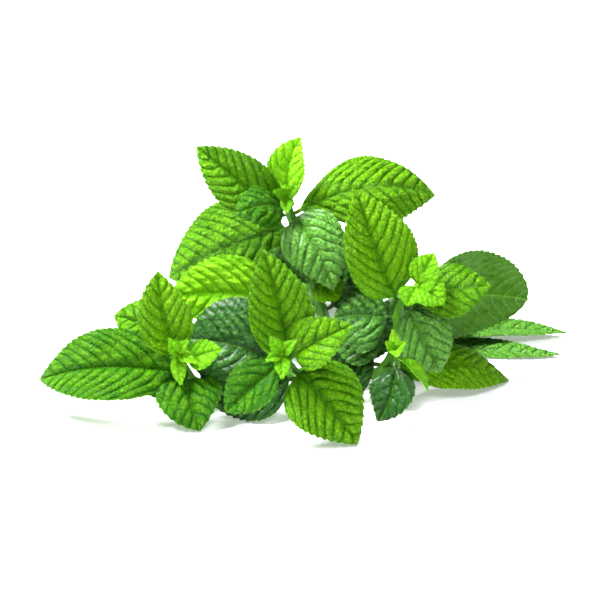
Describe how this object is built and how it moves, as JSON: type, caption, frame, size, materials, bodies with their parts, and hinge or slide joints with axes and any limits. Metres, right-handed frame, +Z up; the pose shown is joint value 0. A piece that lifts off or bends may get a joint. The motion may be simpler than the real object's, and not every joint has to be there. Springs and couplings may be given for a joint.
{
  "type": "mint sprig",
  "caption": "Cut mint sprig lying on its side: a square branching stem with opposite toothed, veined leaves and small bright leaves opening at its tips.",
  "frame": {"origin": "middle of the sprig's bounding box, on the surface that it lies on", "axes": "+X to the right across the heap of leaves, +Y back towards the cut end of the main stem, +Z up"},
  "size_m": [0.2126, 0.1448, 0.0984],
  "materials": {
    "stem": "square green stem, satin, with a soft waxy sheen",
    "mature_leaf": "dark green older leaf, satin, quilted between sunken veins, with a bluish sheen where it faces the light",
    "young_leaf": "bright green younger leaf, satin, quilted between sunken veins, letting some light through",
    "tip_leaf": "yellow-green leaf just opened, soft and slightly translucent"
  },
  "bodies": {
    "root": {"main_stem": "stem", "left_stem": "stem", "right_stem": "stem", "top_stem": "stem", "small_stem": "stem", "low_stem": "stem", "left_leaf_outer": "young_leaf", "left_leaf_upright": "young_leaf", "left_leaf_lower": "young_leaf", "left_leaf_small_right": "tip_leaf", "left_leaf_small_low": "young_leaf", "left_leaf_back": "young_leaf", "inner_leaf_left": "mature_leaf", "inner_leaf_low": "mature_leaf", "front_leaf_upright": "young_leaf", "front_leaf_lower": "young_leaf", "front_leaf_right": "young_leaf", "front_leaf_left": "young_leaf", "right_leaf_upright": "young_leaf", "right_leaf_lower": "mature_leaf", "right_leaf_outer": "young_leaf", "right_leaf_inner": "mature_leaf", "right_leaf_back": "mature_leaf", "right_leaf_table": "young_leaf", "middle_leaf_small": "young_leaf", "inner_leaf_dark": "mature_leaf", "inner_leaf_middle": "mature_leaf", "inner_leaf_shade": "mature_leaf", "small_leaf_hanging": "mature_leaf", "small_leaf_right": "tip_leaf", "top_leaf_left": "young_leaf", "top_leaf_hanging": "mature_leaf", "top_leaf_upright": "tip_leaf", "top_leaf_small": "young_leaf", "top_leaf_right": "young_leaf", "top_leaf_broad": "young_leaf", "middle_leaf_bright": "tip_leaf", "middle_leaf_dark": "mature_leaf", "middle_leaf_right": "mature_leaf", "low_leaf_far": "mature_leaf", "low_leaf_near": "mature_leaf", "back_leaf_right": "mature_leaf", "back_leaf_left": "mature_leaf", "back_leaf_low": "mature_leaf", "back_leaf_high": "young_leaf", "back_leaf_middle": "mature_leaf", "left_tip_leaves": "tip_leaf", "front_tip_leaves": "tip_leaf", "right_tip_leaves": "tip_leaf", "top_tip_leaves": "tip_leaf", "small_tip_leaves": "tip_leaf", "low_tip_leaves": "tip_leaf"}
  },
  "joints": []
}
